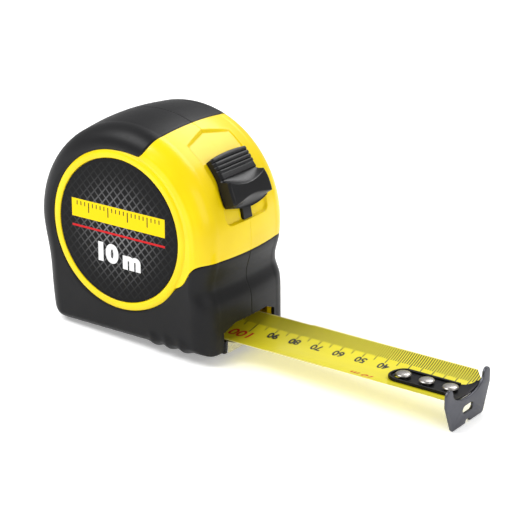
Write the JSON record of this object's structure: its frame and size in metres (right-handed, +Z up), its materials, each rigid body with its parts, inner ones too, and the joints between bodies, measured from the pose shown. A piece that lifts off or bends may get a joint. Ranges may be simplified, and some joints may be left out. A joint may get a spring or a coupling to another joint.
{
  "type": "tape measure",
  "caption": "Pocket tape measure with a rounded two-shell case, rubber grip, curved steel blade with end hook, thumb lock and belt clip.",
  "frame": {"origin": "middle of the flat base of the case", "axes": "+X is the way the blade leaves the case, +Z is up, -Y is the right side of the case, which carries the label without the belt clip"},
  "size_m": [0.1827, 0.0604, 0.0938],
  "materials": {
    "yellow_shell": "glossy moulded ABS",
    "rubber_grip": "soft satin overmoulded rubber",
    "label_print": "printed film on a plastic disc",
    "black_plastic": "satin moulded nylon",
    "blade_print": "yellow lacquer with a printed scale under clear film",
    "hook_steel": "dark blackened steel",
    "bright_steel": "bright nickel-plated steel",
    "spring_steel": "blued spring steel",
    "screw_steel": "black oxide"
  },
  "bodies": {
    "case": {"case_right": "yellow_shell", "case_left": "yellow_shell", "grip_right": "rubber_grip", "grip_left": "rubber_grip", "label_right": "label_print", "label_left": "label_print", "nose_plate": "bright_steel", "hook_bumper": "rubber_grip", "centre_post": "black_plastic", "belt_clip": "bright_steel", "clip_screw": "screw_steel", "case_screws": "screw_steel"},
    "spool": {"blade_coil": "blade_print", "drum": "black_plastic", "drum_cover": "black_plastic", "power_spring": "spring_steel", "tail_rivet": "bright_steel"},
    "blade": {"blade_front": "blade_print", "hook_rivets": "bright_steel"},
    "feed": {"blade_feed": "blade_print"},
    "hook": {"end_hook": "hook_steel"},
    "lock": {"lock_button": "black_plastic", "lock_slider": "black_plastic", "brake_pads": "rubber_grip"}
  },
  "joints": [
    {"name": "spool_spin", "type": "hinge", "parent": "case", "child": "spool", "pos_m": [0.0005, 0, 0.044], "axis": [0, 1, 0], "range_deg": [-70.4, 166.9]},
    {"name": "blade_slide", "type": "slide", "parent": "case", "child": "blade", "axis": [1, 0, 0], "range_m": [-0.0947, 0.0401]},
    {"name": "feed_slide", "type": "slide", "parent": "case", "child": "feed", "axis": [1, 0, 0], "range_m": [-0.0427, 0.0182]},
    {"name": "hook_play", "type": "slide", "parent": "blade", "child": "hook", "axis": [1, 0, 0], "range_m": [0, 0.0012]},
    {"name": "lock_slide", "type": "hinge", "parent": "case", "child": "lock", "pos_m": [0.0005, 0, 0.044], "axis": [0, -1, 0], "range_deg": [0, 10.7]}
  ],
  "couplings": [
    {"joint": "blade_slide", "follows": "spool_spin", "m_per_rad": -0.0325},
    {"joint": "feed_slide", "follows": "spool_spin", "m_per_rad": -0.014625}
  ]
}
